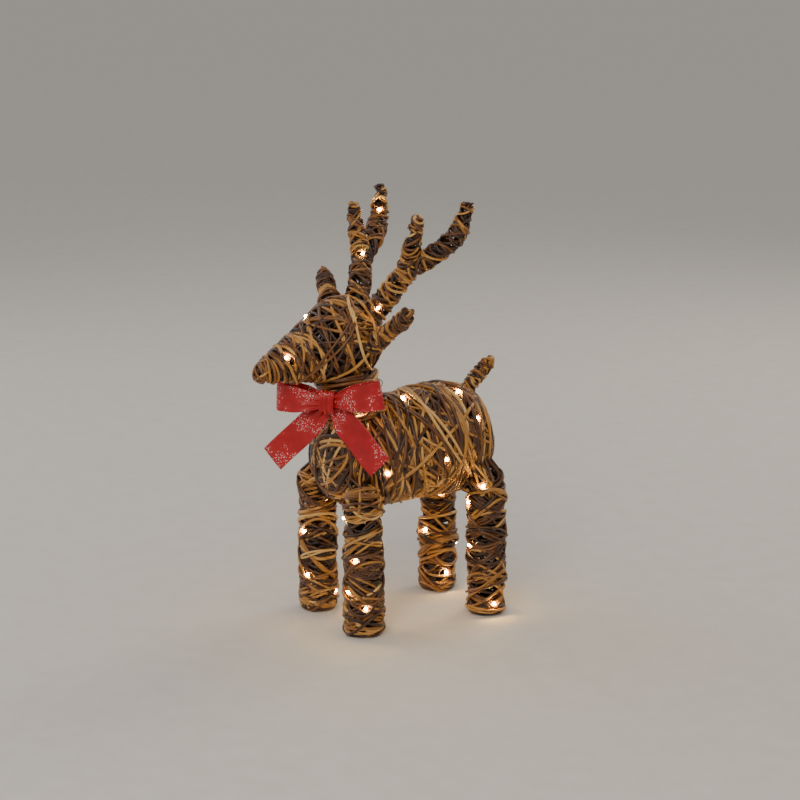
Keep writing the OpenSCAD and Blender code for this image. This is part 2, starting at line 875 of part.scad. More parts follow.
stood() body_wicker();
stood() neck_wicker();
stood() head_wicker();
stood() tail_wicker();
stood() left_ear_wicker();
stood() right_ear_wicker();
stood() left_antler_wicker();
stood() right_antler_wicker();
stood() front_left_leg_wicker();
stood() front_right_leg_wicker();
stood() rear_left_leg_wicker();
stood() rear_right_leg_wicker();
stood() body_frame();
stood() neck_frame();
stood() head_frame();
stood() tail_frame();
stood() left_ear_frame();
stood() right_ear_frame();
stood() left_antler_frame();
stood() right_antler_frame();
stood() front_left_leg_frame();
stood() front_right_leg_frame();
stood() rear_left_leg_frame();
stood() rear_right_leg_frame();
stood() binding_wires();
stood() body_lamp_lead();
stood() head_lamp_lead();
stood() antler_lamp_leads();
stood() front_leg_lamp_leads();
stood() rear_leg_lamp_leads();
stood() body_lamp_holders();
stood() head_lamp_holders();
stood() antler_lamp_holders();
stood() front_leg_lamp_holders();
stood() rear_leg_lamp_holders();
stood() body_lamp_lenses();
stood() head_lamp_lenses();
stood() antler_lamp_lenses();
stood() front_leg_lamp_lenses();
stood() rear_leg_lamp_lenses();
stood() battery_case();
stood() battery_cover();
stood() cover_hinge_pin();
stood() cover_screw();
stood() cover_gasket();
stood() battery_cells();
stood() contact_springs();
stood() contact_plates();
stood() timer_board();
stood() timer_switch();
stood() timer_button();
stood() case_hanger();
stood() hanger_screws();
stood() lead_grommet();
stood() bow_knot();
stood() bow_left_loop();
stood() bow_right_loop();
stood() bow_left_tail();
stood() bow_right_tail();
stood() bow_tie_wire();
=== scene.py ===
# %% [markdown]
# # A wicker reindeer with lamps in it
#
# The real one is a welded wire frame. Someone winds soaked willow vines round each part of it, pushes
# a string of small lamps in from behind, and ties a ribbon at the throat. The CAD frame gives the
# wires, the lamp leads, the battery box and where every surface lies. Here those surfaces become
# vines, and the flat strips become ribbon.

# %% The frame and its box
import math
import bpy
import numpy as np
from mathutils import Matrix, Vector


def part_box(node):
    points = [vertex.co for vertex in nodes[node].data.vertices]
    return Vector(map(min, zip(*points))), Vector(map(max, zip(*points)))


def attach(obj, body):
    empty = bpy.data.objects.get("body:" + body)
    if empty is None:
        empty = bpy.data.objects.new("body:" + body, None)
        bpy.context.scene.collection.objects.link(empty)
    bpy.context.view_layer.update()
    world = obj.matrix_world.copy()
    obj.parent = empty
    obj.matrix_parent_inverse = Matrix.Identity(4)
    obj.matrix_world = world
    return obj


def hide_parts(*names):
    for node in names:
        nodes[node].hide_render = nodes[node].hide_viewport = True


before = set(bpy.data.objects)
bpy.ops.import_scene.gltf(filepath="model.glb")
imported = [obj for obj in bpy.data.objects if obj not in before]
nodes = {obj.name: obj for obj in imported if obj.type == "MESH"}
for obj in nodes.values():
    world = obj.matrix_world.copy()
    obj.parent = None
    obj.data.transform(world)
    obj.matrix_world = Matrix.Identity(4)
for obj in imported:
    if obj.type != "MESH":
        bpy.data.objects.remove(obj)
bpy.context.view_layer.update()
MM = 0.001
rng = np.random.default_rng(548)

# %% [markdown]
# ## The camera
#
# It stands three metres off, a little above the back, and sees the left side with the nose to the
# left. A long lens keeps the legs parallel. A target in the middle of the body holds the framing.

# %% Camera
camera_data = bpy.data.cameras.new("studio_camera")
camera_data.lens = 97.56
camera_data.sensor_width = 36.0
camera = bpy.data.objects.new("studio_camera", camera_data)
bpy.context.scene.collection.objects.link(camera)
turned = math.radians(60.4)
raised = math.radians(12.2)
target = Vector((0, 36, 303)) * MM
back = Vector((math.sin(turned) * math.cos(raised), -math.cos(turned) * math.cos(raised), math.sin(raised)))
camera.location = target + 3.0 * back
camera.rotation_euler = back.to_track_quat("Z", "Y").to_euler()
bpy.context.scene.camera = camera
print("camera at", [round(v, 3) for v in camera.location])

# %% [markdown]
# ## Colours and nodes
#
# Colours are picked as screen hex values, which are brighter than light really adds up. One function
# turns them into the linear numbers that a renderer works in. A second adds any node, sets it and
# links it, so that every finish below reads as a short list.

# %% Two helpers for every finish
def linear(code):
    """A screen colour such as #8a5a2b as linear red, green, blue and alpha."""
    parts = [int(code[i:i + 2], 16) / 255 for i in (1, 3, 5)]
    return tuple(c / 12.92 if c <= 0.04045 else ((c + 0.055) / 1.055) ** 2.4 for c in parts) + (1.0,)


def add(tree, kind, inputs=None, **settings):
    """Adds a node. A setting is a property of it, and an input is a number, a colour or a socket."""
    node = tree.nodes.new(kind)
    for name, value in settings.items():
        setattr(node, name, value)
    for name, value in (inputs or {}).items():
        if isinstance(value, bpy.types.NodeSocket):
            tree.links.new(value, node.inputs[name])
        else:
            node.inputs[name].default_value = value
    return node


def new_finish(name):
    """An empty material, and its node tree."""
    material = bpy.data.materials.new(name)
    material.use_nodes = True
    material.node_tree.nodes.clear()
    return material, material.node_tree


def close_finish(tree, shader):
    add(tree, "ShaderNodeOutputMaterial", {"Surface": shader.outputs["BSDF"]})


def ramp(tree, factor, stops):
    """A colour ramp from (position, hex) pairs."""
    node = add(tree, "ShaderNodeValToRGB", {"Fac": factor})
    elements = node.color_ramp.elements
    while len(elements) < len(stops):
        elements.new(0.5)
    for element, (position, code) in zip(elements, stops):
        element.position = position
        element.color = linear(code)
    return node

# %% [markdown]
# ## Oiled willow
# Each vine has its own shade, from brown bark to bleached straw, and streaks that run along it.
# Deeper layers of vines are painted darker, the inner one near black: that is painted shade for the
# shadow in the gaps of the winding.
# Each vine has its own shade, from dark wet bark to bleached straw, and streaks that run along it.
# The mesh carries a shade for each vine and a coordinate that counts millimetres along and round it,
# so the grain follows every bend. A thin oil coat gives the soft shine on the crowns.

# %% Oiled willow vine
def oiled_willow():
    material, tree = new_finish("oiled_willow_vine")
    shade = add(tree, "ShaderNodeAttribute", attribute_name="shade")
    grain = add(tree, "ShaderNodeAttribute", attribute_name="grain")
    # One streak is about 0.8 mm wide and 14 mm long.
    stretched = add(tree, "ShaderNodeMapping",
                    {"Vector": grain.outputs["Vector"], "Scale": (0.07, 1.2, 1.0)})
    streak = add(tree, "ShaderNodeTexNoise",
                 {"Vector": stretched.outputs["Vector"], "Scale": 1.0, "Detail": 4.0, "Roughness": 0.6})
    # Bark wears off in patches about 25 mm long.
    worn = add(tree, "ShaderNodeMapping", {"Vector": grain.outputs["Vector"], "Scale": (0.04, 0.12, 1.0)})
    patch = add(tree, "ShaderNodeTexNoise",
                {"Vector": worn.outputs["Vector"], "Scale": 1.0, "Detail": 2.0, "Roughness": 0.5})
    sum_streak = add(tree, "ShaderNodeMath", {0: streak.outputs["Fac"], 1: 0.42, 2: -0.21},
                     operation="MULTIPLY_ADD")
    sum_patch = add(tree, "ShaderNodeMath", {0: patch.outputs["Fac"], 1: 0.50, 2: -0.25},
                    operation="MULTIPLY_ADD")
    both = add(tree, "ShaderNodeMath", {0: sum_streak.outputs["Value"], 1: sum_patch.outputs["Value"]},
               operation="ADD")
    total = add(tree, "ShaderNodeMath", {0: both.outputs["Value"], 1: shade.outputs["Fac"]}, operation="ADD")
    # Values near the dark end come mostly from the inner layers' painted shade. The rest is the vines' own
    # tone.
    colour = ramp(tree, total.outputs["Value"],
                  [(0.0, "#170c05"), (0.28, "#43240e"), (0.52, "#85521f"), (0.76, "#c48a3a"),
                   (1.0, "#eac27c")])
    gloss = add(tree, "ShaderNodeMapRange", {"Value": streak.outputs["Fac"], "To Min": 0.34, "To Max": 0.6})
    bark = add(tree, "ShaderNodeBump",
               {"Height": streak.outputs["Fac"], "Strength": 0.7, "Distance": 0.0006})
    shader = add(tree, "ShaderNodeBsdfPrincipled",
                 {"Base Color": colour.outputs["Color"], "Roughness": gloss.outputs["Result"],
                  "Normal": bark.outputs["Normal"], "Coat Weight": 0.3, "Coat Roughness": 0.28})
    close_finish(tree, shader)
    return material


willow = oiled_willow()
print("made", willow.name)

# %% [markdown]
# ## Where the lamps are
#
# The vines have to part round each lamp. The CAD nodes hold the lamps, several to a node, so their
# points are gathered into groups a few millimetres across. A lamp's direction runs from the middle
# of its holder to the middle of its lens.

# %% Finding each lamp
def groups(node):
    """The middle of each separate small solid in a node."""
    mesh = nodes[node].data
    points = np.empty(len(mesh.vertices) * 3)
    mesh.vertices.foreach_get("co", points)
    left = points.reshape(-1, 3)
    found = []
    while len(left):
        near = np.linalg.norm(left - left[0], axis=1) < 0.009
        found.append((left[near].min(axis=0) + left[near].max(axis=0)) / 2)
        left = left[~near]
    return found


LAMP_SETS = ["body", "head", "antler", "front_leg", "rear_leg"]
lamps = {}
for section in LAMP_SETS:
    lens_middles = groups(section + "_lamp_lenses")
    lamps[section] = []
    for middle in groups(section + "_lamp_holders"):
        lens = min(lens_middles, key=lambda p: np.linalg.norm(p - middle))
        facing = (lens - middle) / np.linalg.norm(lens - middle)
        lamps[section].append((middle / MM, facing))
all_lamps = [lamp for section in LAMP_SETS for lamp in lamps[section]]
print("lamps:", {section: len(found) for section, found in lamps.items()})

# %% [markdown]
# ## The surfaces that the vines lie on
#
# Each part is described by a function that is negative inside it and positive outside: a barrel, a
# round-ended taper, a post with a dome. A ray from inside finds the surface by halving, whatever the
# shape. That lets one recipe wind every part, at any tilt, over its rounded ends as well.

# %% Surfaces as inside and outside
def unit(v):
    return np.asarray(v, float) / np.linalg.norm(v)


def split(p, start, axis):
    """How far each point is along an axis, and how far from it."""
    along = (p - start) @ axis
    away = np.linalg.norm(p - start - along[..., None] * axis, axis=-1)
    return along, away


SHIFT = np.array([0.0, 38.0, 0.0])      # the CAD's feet stand 38 mm behind the middle of its box
BODY_MID = np.array([0, 0, 238.0]) + SHIFT
BODY_AXIS = np.array([0, math.cos(math.radians(5)), math.sin(math.radians(5))])
BODY_LENGTH = 262
BODY_R = 77
NECK_R = 44
LEG_R = 28
LEG_TOP = 185             # where a leg's dome begins
FOOT_EDGE_R = 11          # the rounded lower edge of a leg
HALVINGS = 14             # each ray is found to within 0.01 mm
SKULL = np.array([0, -92, 398.0]) + SHIFT
NOSE = np.array([0, -213, 362.0]) + SHIFT
NECK_LOW = np.array([0, -71, 265.0]) + SHIFT
NECK_HIGH = np.array([0, -91, 360.0]) + SHIFT


def barrel(p):
    along, away = split(p, BODY_MID, BODY_AXIS)
    fullness = np.clip(1 - np.abs(2 * along / BODY_LENGTH) ** 5, 0, 1)
    return away - (BODY_R + 0.04 * along) * fullness ** 0.4545


def taper(a, b, r1, r2):
    axis = unit(b - a)
    length = np.linalg.norm(b - a)
    slope = math.asin((r1 - r2) / length)

    def gap(p):
        along, away = split(p, a, axis)
        ball = np.clip(along - away * math.tan(slope), 0, length)
        return np.hypot(away, along - ball) - (r1 - ball * math.sin(slope))
    return gap


def post(foot):
    """A leg: a post with a dome on top, a rounded lower edge, and the unevenness of hand winding."""
    phase = rng.uniform(0, 6, 2)

    def gap(p):
        away = np.hypot(p[..., 0] - foot[0], p[..., 1] - foot[1])
        height = p[..., 2]
        uneven = 0.9 * np.sin(height / 13 + phase[0]) + 0.6 * np.sin(height / 5.5 + phase[1])
        side = np.hypot(away, np.maximum(height - LEG_TOP, 0)) - LEG_R + 0.6 + uneven
        edge = np.hypot(np.maximum(away - (LEG_R - FOOT_EDGE_R), 0),
                        np.maximum(FOOT_EDGE_R - height, 0)) - FOOT_EDGE_R
        return np.maximum(np.where(height < FOOT_EDGE_R, edge, side), -height)
    return gap


def neck_column(p):
    return split(p, NECK_LOW, unit(NECK_HIGH - NECK_LOW))[1] - NECK_R


FEET = {
    "front_left": np.array([67, -97, 0.0]) + SHIFT,
    "front_right": np.array([-67, -97, 0.0]) + SHIFT,
    "rear_left": np.array([67, 99, 0.0]) + SHIFT,
    "rear_right": np.array([-67, 99, 0.0]) + SHIFT,
}


def body_and_shoulders(p):
    """The barrel, swollen where each leg's top runs into it."""
    gap = barrel(p)
    for foot in FEET.values():
        shoulder = np.linalg.norm(p - foot - np.array([0, 0, LEG_TOP]), axis=-1) - LEG_R
        mix = np.clip(0.5 + 0.5 * (shoulder - gap) / 14, 0, 1)
        gap = gap * mix + shoulder * (1 - mix) - 14 * mix * (1 - mix)
    return gap


# %% [markdown]
# ## One vine
#
# A vine is laid round a part as a slanting ring. It starts inside the winding, comes up, dips under
# its neighbours and over them, and tucks its end back in. Rings at many slants cross each other,
# which is what makes wicker look woven although nothing is counted.

# %% Laying a vine on a surface
def across(axis):
    """Two directions square to an axis."""
    other = np.array([0, 0, 1.0]) if abs(axis[2]) < 0.9 else np.array([1.0, 0, 0])
    first = unit(np.cross(axis, other))
    return first, np.cross(axis, first)


def tilted(axis, slant):
    """An axis leaned over by a slant in degrees, toward a random side."""
    first, second = across(axis)
    side = rng.uniform(0, 2 * math.pi)
    lean = math.radians(slant)
    return unit(math.cos(lean) * axis + math.sin(lean) * (math.cos(side) * first + math.sin(side) * second))


def part_for_lamps(points, near_lamps, thickness):
    """Moves a vine sideways where it would cover a lamp."""
    for middle, facing in near_lamps:
        off = points - middle
        depth = off @ facing
        flat = off - depth[:, None] * facing
        distance = np.linalg.norm(flat, axis=1)
        distance = np.where(np.abs(depth) < 20, distance, 1e6)
        nearest = int(distance.argmin())
        if distance[nearest] > 12:
            continue
        ahead = points[min(nearest + 1, len(points) - 1)] - points[max(nearest - 1, 0)]
        side = np.cross(ahead, facing)
        side = side / (np.linalg.norm(side) + 1e-9)
        offset = float(flat[nearest] @ side)
        need = 3.4 + thickness - abs(offset)
        if need > 0:
            push = need * np.exp(-(np.minimum(distance, 1e3) / 8) ** 2)
            points = points + (math.copysign(1, offset) * push)[:, None] * side
    return points


def vine(gap, centre, normal, toward=None, sweep=400, depth=2.0, radius=1.9, shade=0.5,
         reach=130, wander=0.05, drift=0.0, weave=1.4, tuck=6.0, near_lamps=()):
    """One vine: its points, which way is out, its radius and its shade."""
    if toward is None:
        first, second = across(normal)
        start = rng.uniform(0, 2 * math.pi)
    else:
        first = unit(toward - (toward @ normal) * normal)
        second = np.cross(normal, first)
        start = -math.radians(sweep) / 2
    steps = max(8, int(sweep / 9))
    turn = start + math.radians(sweep) * np.linspace(0, 1, steps)
    waves = wander * (np.sin(turn * 1.0 + rng.uniform(0, 6)) + 0.6 * np.sin(turn * 2.3 + rng.uniform(0, 6)))
    rays = np.cos(turn)[:, None] * first + np.sin(turn)[:, None] * second + waves[:, None] * normal
    rays /= np.linalg.norm(rays, axis=1)[:, None]
    centres = centre + np.outer((turn - turn.mean()) / (2 * math.pi) * drift, normal)
    low = np.zeros(steps)
    high = np.full(steps, float(reach))
    for _ in range(HALVINGS):
        middle = (low + high) / 2
        inside = gap(centres + middle[:, None] * rays) < 0
        low = np.where(inside, middle, low)
        high = np.where(inside, high, middle)
    run = np.linspace(0, 1, steps) * math.radians(sweep) * max(low.mean(), 5)
    ends = np.minimum(run, run[-1] - run)
    sink = depth + weave * (0.5 + 0.5 * np.sin(turn * rng.uniform(3, 6) + rng.uniform(0, 6)))
    sink = sink + tuck * np.exp(-(ends / 7) ** 2)
    points = centres + (low - sink)[:, None] * rays
    points = part_for_lamps(points, near_lamps, radius)
    taper_off = np.clip(0.55 + ends / 18, 0, 1)
    swell = 1 + 0.07 * np.sin(run / rng.uniform(6, 13) + rng.uniform(0, 6))
    return points, rays, radius * taper_off * swell, shade

# %% [markdown]
# ## Many vines as one mesh
#
# A curve with a bevel could draw each vine, but over a thousand curve objects are slow, and the grain
# needs coordinates of its own. So every vine is swept straight into one mesh for its part: a ring of
# six points at each step, joined to the next ring, with both ends closed.

# %% Sweeping the vines
def sweep_mesh(name, vines, sides=6):
    verts, faces, shades, grains = [], [], [], []
    base = 0
    around = np.arange(sides) / sides * 2 * math.pi
    for number, (points, out, radius, shade) in enumerate(vines):
        count = len(points)
        ahead = np.gradient(points, axis=0)
        step = np.linalg.norm(ahead, axis=1)
        ahead /= step[:, None] + 1e-9
        lift = out - (out * ahead).sum(axis=1)[:, None] * ahead
        lift /= np.linalg.norm(lift, axis=1)[:, None] + 1e-9
        side = np.cross(ahead, lift)
        spokes = (np.cos(around)[None, :, None] * lift[:, None]
                  + np.sin(around)[None, :, None] * side[:, None])
        ring = points[:, None] + np.broadcast_to(radius, (count,))[:, None, None] * spokes
        verts.append(ring.reshape(-1, 3) * MM)
        one = base + np.arange(count - 1)[:, None] * sides + np.arange(sides)[None]
        two = base + np.arange(count - 1)[:, None] * sides + (np.arange(sides)[None] + 1) % sides
        faces.extend(np.stack([one, two, two + sides, one + sides], axis=-1).reshape(-1, 4).tolist())
        faces.append([base + k for k in range(sides - 1, -1, -1)])
        faces.append([base + (count - 1) * sides + k for k in range(sides)])
        shades.append(np.full(count * sides, shade))
        length = np.cumsum(step)[:, None] * np.ones(sides)
        girth = np.broadcast_to(np.sin(around) * 3 + 4, (count, sides))
        apart = np.full((count, sides), number * 7.3)
        grains.append(np.stack([length, girth, apart], axis=-1).reshape(-1, 3))
        base += count * sides
    mesh = bpy.data.meshes.new(name)
    mesh.from_pydata(np.concatenate(verts).tolist(), [], faces)
    mesh.polygons.foreach_set("use_smooth", [True] * len(mesh.polygons))
    mesh.attributes.new("shade", "FLOAT", "POINT").data.foreach_set("value", np.concatenate(shades))
    grain = mesh.attributes.new("grain", "FLOAT_VECTOR", "POINT")
    grain.data.foreach_set("vector", np.concatenate(grains).ravel())
    return mesh


def place_piece(name, mesh, material, slot, *stands_for):
    """Shows a mesh as a piece on the reindeer, in place of CAD nodes."""
    piece = bpy.data.objects.new(name, mesh)
    bpy.context.scene.collection.objects.link(piece)
    mesh.materials.append(material)
    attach(piece, "reindeer")
    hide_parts(*stands_for)
    print(name, len(mesh.polygons), "faces")
    return piece


def place_winding(name, vines, node):
    """Sweeps a section's vines and shows them in place of its CAD skin."""
    place_piece(name, sweep_mesh(name, vines), willow, "vine", node)


def tone_and_painted_shade(layer):
    """Some outer vines are bleached and the rest keep their bark. The deeper layers are painted darker, the
    inner one darkest, as painted shade for the shadow inside the winding.
    """
    # Fewer bleached vines and lower values in the deeper layers are painted shade, not a darker vine.
    bleached = rng.random() < (0.46, 0.16, 0.0)[layer]
    middle = 0.72 if bleached else (0.34, 0.22, 0.05)[layer]
    return float(np.clip(rng.normal(middle, 0.1), 0.0, 0.95))


def near(lamp_list, low, high, margin=20):
    """The lamps near a part, from the corners of its box."""
    low = np.asarray(low) / MM - margin
    high = np.asarray(high) / MM + margin
    return [lamp for lamp in lamp_list if np.all(lamp[0] > low) and np.all(lamp[0] < high)]


def layered(gap, axis, spots, slants, lamp_list, radius=2.3, sweep=(330, 620), reach=130, drift=4.0,
            wander=0.05, proud=0.12):
    """Slanting rings in three layers, with their middles at the given spots."""
    made = []
    for spot in spots:
        layer = int(rng.choice([0, 1, 2], p=[0.42, 0.33, 0.25]))
        size = radius * rng.uniform(0.8, 1.2)
        depth = size + (0.0, 2.6, 5.6)[layer]
        if rng.random() < proud:
            # A slack vine bows out past its neighbours.
            layer, depth = 0, size - rng.uniform(1.5, 3.5)
        made.append(vine(gap, spot, tilted(axis, rng.uniform(*slants)), None, rng.uniform(*sweep), depth,
                         size, tone_and_painted_shade(layer), reach, wander, rng.uniform(-drift, drift),
                         near_lamps=lamp_list))
    return made


def caps(gap, spot, toward, count, lamp_list, spread=60, radius=2.2, sweep=(150, 230), reach=130,
         scatter=6.0):
    """Arcs that cross a rounded end, at every angle."""
    made = []
    first, second = across(unit(toward))
    for _ in range(count):
        angle = rng.uniform(0, 2 * math.pi)
        normal = unit(math.cos(angle) * first + math.sin(angle) * second
                      + rng.uniform(-1, 1) * math.sin(math.radians(90 - spread)) * unit(toward))
        layer = int(rng.choice([0, 1, 2], p=[0.4, 0.35, 0.25]))
        size = radius * rng.uniform(0.82, 1.18)
        middle = spot + rng.normal(0, scatter, 3)
        depth = size + (0.0, 2.4, 5.2)[layer]
        made.append(vine(gap, middle, normal, unit(toward), rng.uniform(*sweep), depth, size,
                         tone_and_painted_shade(layer), reach, near_lamps=lamp_list))
    return made


def spots_along(a, b, count, jitter):
    """Middles spread evenly from a to b, each a little off."""
    share = (np.arange(count) + 0.5) / count
    return [a + s * (b - a) + rng.normal(0, jitter, 3) for s in share]

# %% [markdown]
# ## The body
#
# The barrel is wound in bands that lean both ways, and longer arcs cross the chest and the rump.
# Some bands run out over the tops of the legs, so that the legs grow out of the body. The hatch for
# the battery box stays open: vines stop at its edge, and three vines trim it.

# %% Body winding
HATCH_X = 33
HATCH_Y = 48


def leave_hatch(vines):
    """Cuts every vine where it would cross the hatch under the belly."""
    kept = []
    for points, out, radius, shade in vines:
        over = ((np.abs(points[:, 0]) < HATCH_X) & (np.abs(points[:, 1] - SHIFT[1]) < HATCH_Y)
                & (points[:, 2] < 200))
        radius = np.broadcast_to(radius, (len(points),))
        edges = np.flatnonzero(np.diff(np.concatenate([[1], over.astype(int), [1]])))
        for start, stop in zip(edges[::2], edges[1::2]):
            if stop - start >= 5:
                kept.append((points[start:stop], out[start:stop], radius[start:stop], shade))
    return kept


def hatch_trim(count):
    """Vines laid round the edge of the hatch, along the belly's curve."""
    made = []
    for k in range(count):
        turn = np.linspace(0, 2 * math.pi, 72) + rng.uniform(0, 6)
        reach_x = HATCH_X + 1.5 + 3.2 * k
        reach_y = HATCH_Y + 1.5 + 3.2 * k
        x = reach_x * np.sign(np.cos(turn)) * np.abs(np.cos(turn)) ** 0.45
        y = reach_y * np.sign(np.sin(turn)) * np.abs(np.sin(turn)) ** 0.45 + SHIFT[1]
        low, high = np.zeros(72), np.full(72, 110.0)
        for _ in range(HALVINGS):
            middle = (low + high) / 2
            inside = barrel(np.stack([x, y, BODY_MID[2] - middle], axis=1)) < 0
            low, high = np.where(inside, middle, low), np.where(inside, high, middle)
        out = np.stack([x * 0.6, np.zeros(72), -low], axis=1)
        out /= np.linalg.norm(out, axis=1)[:, None]
        dip = 1.9 + 0.5 * np.sin(turn * 5 + k)
        points = np.stack([x, y, BODY_MID[2] - low], axis=1) - out * dip[:, None]
        made.append((points, out, 1.9, tone_and_painted_shade(0)))
    return made


body_low, body_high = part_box("body_wicker")
body_lamps = near(all_lamps, body_low, body_high)
front_end = BODY_MID - 122 * BODY_AXIS
rear_end = BODY_MID + 122 * BODY_AXIS
body_vines = layered(barrel, BODY_AXIS, spots_along(front_end, rear_end, 92, 2), (8, 40), body_lamps,
                     wander=0.09)
body_vines += layered(barrel, BODY_AXIS, spots_along(front_end, rear_end, 54, 3), (34, 66), body_lamps,
                      sweep=(240, 420), wander=0.12)
body_vines += layered(body_and_shoulders, BODY_AXIS, spots_along(front_end, rear_end, 64, 2), (8, 40),
                      body_lamps, wander=0.09)
body_vines += caps(barrel, BODY_MID - 78 * BODY_AXIS, -BODY_AXIS, 34, body_lamps)
body_vines += caps(barrel, BODY_MID + 78 * BODY_AXIS, BODY_AXIS, 34, body_lamps)
body_vines = leave_hatch(body_vines) + hatch_trim(3)
place_winding("body_winding", body_vines, "body_wicker")

# %% [markdown]
# ## Neck and head
#
# The neck is wound like the body. The head is wound more openly, with steeper crossings, and closes
# up toward the muzzle, where the rings get small. Arcs cross the back of the skull and the nose.

# %% Neck winding
neck_low, neck_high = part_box("neck_wicker")
neck_lamps = near(all_lamps, neck_low, neck_high)
neck_axis = unit(NECK_HIGH - NECK_LOW)
neck_spots = spots_along(NECK_LOW + 18 * neck_axis, NECK_HIGH - 12 * neck_axis, 44, 2)
neck_vines = layered(neck_column, neck_axis, neck_spots, (4, 34), neck_lamps, reach=90)
place_winding("neck_winding", neck_vines, "neck_wicker")

# %% Head winding
head_shape = taper(SKULL, NOSE, 58, 15)
head_low, head_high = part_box("head_wicker")
head_lamps = near(all_lamps, head_low, head_high)
head_axis = unit(NOSE - SKULL)
skull_spots = spots_along(SKULL - 30 * head_axis, SKULL + 100 * head_axis, 64, 2)
head_vines = layered(head_shape, head_axis, skull_spots, (12, 58), head_lamps, reach=100, wander=0.11)
muzzle_spots = spots_along(SKULL + 84 * head_axis, NOSE + 6 * head_axis, 24, 1)
head_vines += layered(head_shape, head_axis, muzzle_spots, (3, 28), head_lamps, radius=1.9, reach=60)
head_vines += caps(head_shape, SKULL, -head_axis, 40, head_lamps, reach=100, scatter=9)
head_vines += caps(head_shape, NOSE - 4 * head_axis, head_axis, 14, head_lamps, radius=1.6, reach=40,
                   scatter=2)
place_winding("head_winding", head_vines, "head_wicker")

# %% [markdown]
# ## Legs
#
# Each leg is a post wound with rings that lean up to about fifty degrees either way, so they cross in
# long diamonds. The last few close the foot, and those at the top close over the leg's dome.

# %% Leg windings
for leg, foot in FEET.items():
    wicker_node = leg + "_leg_wicker"
    leg_low, leg_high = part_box(wicker_node)
    leg_lamps = near(all_lamps, leg_low, leg_high, 6)
    shape = post(foot)
    up = np.array([0, 0, 1.0])
    leg_vines = layered(shape, up, spots_along(foot + 5 * up, foot + 204 * up, 92, 1), (14, 48), leg_lamps,
                        radius=2.1, reach=90, wander=0.09, proud=0.16)
    leg_vines += layered(shape, up, spots_along(foot + 4 * up, foot + 16 * up, 8, 0.5), (1, 9), leg_lamps,
                         radius=1.9, reach=60)
    leg_vines += caps(shape, foot + 22 * up, -up, 12, leg_lamps, reach=60, radius=1.8, scatter=2)
    place_winding(leg + "_leg_winding", leg_vines, wicker_node)

# %% [markdown]
# ## Ears and tail
#
# These are short and tightly wound over one bent wire. A few loops stand loose at the tips, because
# there is nothing left to tuck them behind.

# %% Ear and tail windings
def wind_stub(name, a, b, r1, r2, count, node):
    shape = taper(a, b, r1, r2)
    axis = unit(b - a)
    low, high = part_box(node)
    lamp_list = near(all_lamps, low, high, 6)
    made = layered(shape, axis, spots_along(a, b, count, 0.8), (12, 44), lamp_list, radius=1.9, reach=50,
                   drift=7)
    made += caps(shape, b - 3 * axis, axis, 9, lamp_list, radius=1.5, reach=40, scatter=1.5)
    place_winding(name, made, node)


LEFT_EAR = [np.array([45, -74, 393.0]) + SHIFT, np.array([117, -54, 445.0]) + SHIFT]
RIGHT_EAR = [np.array([-42, -88, 440.0]) + SHIFT, np.array([-117, -59, 470.0]) + SHIFT]
TAIL = [np.array([0, 104, 306.0]) + SHIFT, np.array([0, 144, 345.0]) + SHIFT]
wind_stub("left_ear_winding", *LEFT_EAR, 15, 10, 52, "left_ear_wicker")
wind_stub("right_ear_winding", *RIGHT_EAR, 15, 10, 52, "right_ear_wicker")
wind_stub("tail_winding", *TAIL, 12.5, 8.5, 46, "tail_wicker")

# %% [markdown]
# ## Antlers
#
# An antler bends and forks, so rays from one middle would miss it. Here each ring sits square to the
# branch's own path and slides along the path to lean over, and the same sweep draws it.

# %% Antler windings
OUTER = np.array([[24, -60, 430], [40, -44, 457], [64, -26, 494], [88, 6, 520], [108, 25, 547],
                  [119, 34, 588.0]])
OUTER_R = np.array([19, 17, 15.5, 15, 14.5, 9])
INNER = np.array([[58, -30, 486], [70, -27, 512], [80, -27, 538], [90, -26, 569.0]])
INNER_R = np.array([14, 13.5, 12, 8.5])


def smooth_path(points, per_span=8):
    """A smooth curve through points, for positions or for radii."""
    points = np.asarray(points, float).reshape(len(points), -1)
    rows = []
    for i in range(len(points) - 1):
        a, b = points[max(i - 1, 0)], points[i]
        c, d = points[i + 1], points[min(i + 2, len(points) - 1)]
        for t in np.arange(per_span + (i == len(points) - 2)) / per_span:
            rows.append(0.5 * (2 * b + (c - a) * t + (2 * a - 5 * b + 4 * c - d) * t ** 2
                               + (3 * b - a - 3 * c + d) * t ** 3))
    return np.array(rows)


